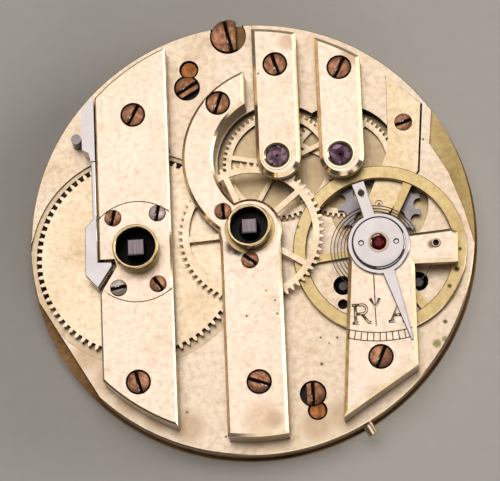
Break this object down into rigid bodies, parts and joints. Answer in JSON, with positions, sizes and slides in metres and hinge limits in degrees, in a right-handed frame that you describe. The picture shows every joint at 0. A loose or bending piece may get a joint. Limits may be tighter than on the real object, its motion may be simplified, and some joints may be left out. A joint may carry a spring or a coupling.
{
  "type": "pocket watch movement",
  "caption": "Key-wound bar-type pocket watch movement in gilt brass with a cylinder escapement, lying on its dial, every wheel turning.",
  "frame": {"origin": "on the centre wheel's axis, in the plane of the dial's face that the movement lies on", "axes": "+Z from the dial up through the plate to the bridges; +X to the right and +Y to the top of the picture, seen from the bridges"},
  "size_m": [0.0434, 0.0437, 0.0082],
  "materials": {
    "gilt": "frosted gilt brass",
    "enamel": "white enamel fired on copper",
    "copper": "bare copper",
    "screw": "steel drawn to a copper brown",
    "brass": "plain rolled brass",
    "gold": "polished gilt brass",
    "steel": "polished steel",
    "dark_steel": "hardened steel, left dark",
    "violet_jewel": "polished garnet hole jewel",
    "ruby": "polished ruby"
  },
  "bodies": {
    "movement": {"main_plate": "gilt", "barrel_bridge": "gilt", "barrel_cap": "gilt", "centre_bridge": "gilt", "third_cock": "gilt", "fourth_cock": "gilt", "escape_cock": "gilt", "balance_cock": "gilt", "dial": "enamel", "dial_feet": "copper", "dial_foot_screws": "screw", "case_screw": "screw", "barrel_cap_screws": "screw", "bridge_screws": "screw", "setting_ring_screws": "screw", "escape_cock_screw": "screw", "case_pin": "brass", "chariot": "brass", "hairspring_stud": "brass", "winding_ring": "gold", "setting_ring": "gold", "jewel_settings": "gold", "endstone_setting": "gold", "click_post": "steel", "click_spring": "steel", "endstone_cap": "steel", "chariot_screws": "dark_steel", "train_jewels": "violet_jewel", "endstone": "ruby", "upper_balance_jewel": "ruby", "lower_balance_jewel": "ruby"},
    "click": {"click": "steel"},
    "barrel": {"barrel_drum": "brass", "barrel_cover": "brass", "mainspring": "dark_steel"},
    "winding": {"barrel_arbor": "dark_steel", "ratchet_wheel": "steel"},
    "centre": {"centre_wheel": "brass", "centre_pinion": "steel"},
    "setting": {"setting_arbor": "dark_steel", "cannon_pinion": "steel"},
    "third": {"third_wheel": "brass", "third_pinion": "steel"},
    "fourth": {"fourth_wheel": "brass", "fourth_pinion": "steel"},
    "escape": {"escape_wheel": "steel", "escape_pinion": "steel"},
    "balance": {"balance_wheel": "gold", "balance_staff": "steel", "collet": "brass", "hairspring": "dark_steel"},
    "regulator": {"regulator": "steel", "curb_pins": "gold"},
    "stud": {"minute_stud": "steel"},
    "minute": {"minute_wheel": "brass"},
    "washer": {"dial_washer": "brass"},
    "hour": {"hour_wheel": "brass"}
  },
  "joints": [
    {"name": "centre_spin", "type": "hinge", "parent": "movement", "child": "centre", "pos_m": [0, 0, 0.0045], "axis": [0, 0, 1], "continuous": true},
    {"name": "barrel_spin", "type": "hinge", "parent": "movement", "child": "barrel", "pos_m": [-0.0109, -0.0016, 0.0033], "axis": [0, 0, 1], "continuous": true},
    {"name": "third_spin", "type": "hinge", "parent": "movement", "child": "third", "pos_m": [0.0029, 0.0072, 0.0027], "axis": [0, 0, 1], "continuous": true},
    {"name": "fourth_spin", "type": "hinge", "parent": "movement", "child": "fourth", "pos_m": [0.009, 0.007, 0.0021], "axis": [0, 0, 1], "continuous": true},
    {"name": "escape_spin", "type": "hinge", "parent": "movement", "child": "escape", "pos_m": [0.01245, 0.0025, 0.0025], "axis": [0, 0, 1], "continuous": true},
    {"name": "setting_spin", "type": "hinge", "parent": "centre", "child": "setting", "pos_m": [0, 0, 0.006], "axis": [0, 0, 1], "continuous": true},
    {"name": "stud_spin", "type": "hinge", "parent": "movement", "child": "stud", "pos_m": [0, -0.0032, 0.0013], "axis": [0, 0, 1], "continuous": true},
    {"name": "minute_spin", "type": "hinge", "parent": "stud", "child": "minute", "pos_m": [0, -0.0032, 0.0013], "axis": [0, 0, 1], "continuous": true},
    {"name": "washer_spin", "type": "hinge", "parent": "movement", "child": "washer", "pos_m": [0, 0, 0.0008], "axis": [0, 0, 1], "continuous": true},
    {"name": "hour_spin", "type": "hinge", "parent": "washer", "child": "hour", "pos_m": [0, 0, 0.001], "axis": [0, 0, 1], "continuous": true},
    {"name": "winding_spin", "type": "hinge", "parent": "movement", "child": "winding", "pos_m": [-0.0109, -0.0016, 0.0055], "axis": [0, 0, 1], "range_deg": [-1800, 0]},
    {"name": "click_bend", "type": "hinge", "parent": "movement", "child": "click", "pos_m": [-0.01492, 0.00763, 0.0056], "axis": [0, 0, 1], "range_deg": [-4, 0], "stiffness_Nm_per_rad": 0.01},
    {"name": "balance_swing", "type": "hinge", "parent": "movement", "child": "balance", "pos_m": [0.0123, -0.0022, 0.0038], "axis": [0, 0, 1], "range_deg": [-160, 160], "stiffness_Nm_per_rad": 0.000005, "deforming": ["hairspring"]},
    {"name": "regulator_turn", "type": "hinge", "parent": "movement", "child": "regulator", "pos_m": [0.0123, -0.0022, 0.0063], "axis": [0, 0, 1], "range_deg": [-36, 2]}
  ],
  "couplings": [
    {"joint": "barrel_spin", "follows": "centre_spin", "ratio": -0.125},
    {"joint": "third_spin", "follows": "centre_spin", "ratio": -8},
    {"joint": "fourth_spin", "follows": "centre_spin", "ratio": 60},
    {"joint": "escape_spin", "follows": "centre_spin", "ratio": -600},
    {"joint": "stud_spin", "follows": "centre_spin", "ratio": -0.33333},
    {"joint": "washer_spin", "follows": "centre_spin", "ratio": 0.083333},
    {"joint": "minute_spin", "follows": "setting_spin", "ratio": -0.33333},
    {"joint": "hour_spin", "follows": "setting_spin", "ratio": 0.083333}
  ]
}
